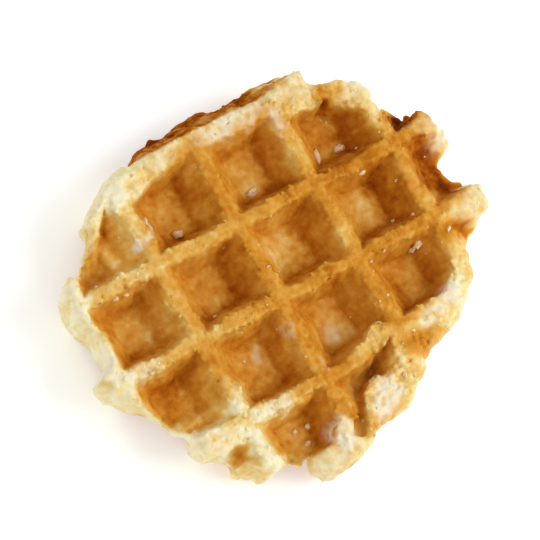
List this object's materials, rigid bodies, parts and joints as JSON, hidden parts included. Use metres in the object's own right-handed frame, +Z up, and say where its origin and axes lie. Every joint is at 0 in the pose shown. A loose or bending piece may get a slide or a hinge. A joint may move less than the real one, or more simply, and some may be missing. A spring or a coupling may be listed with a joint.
{
  "type": "liege waffle",
  "caption": "Thick yeast-dough waffle with an uneven rim, a grid of square wells in both faces and lumps of pearl sugar in its crust.",
  "frame": {"origin": "centre of the waffle's bounding box at the plane of its lower ridges, on which it rests", "axes": "+Z up out of the upper ridges, +X along the longest side and along one set of ridges"},
  "size_m": [0.1152, 0.099, 0.0253],
  "materials": {
    "waffle_crust": "satin",
    "pearl_sugar": "gloss"
  },
  "bodies": {
    "root": {"waffle": "waffle_crust"}
  },
  "joints": []
}
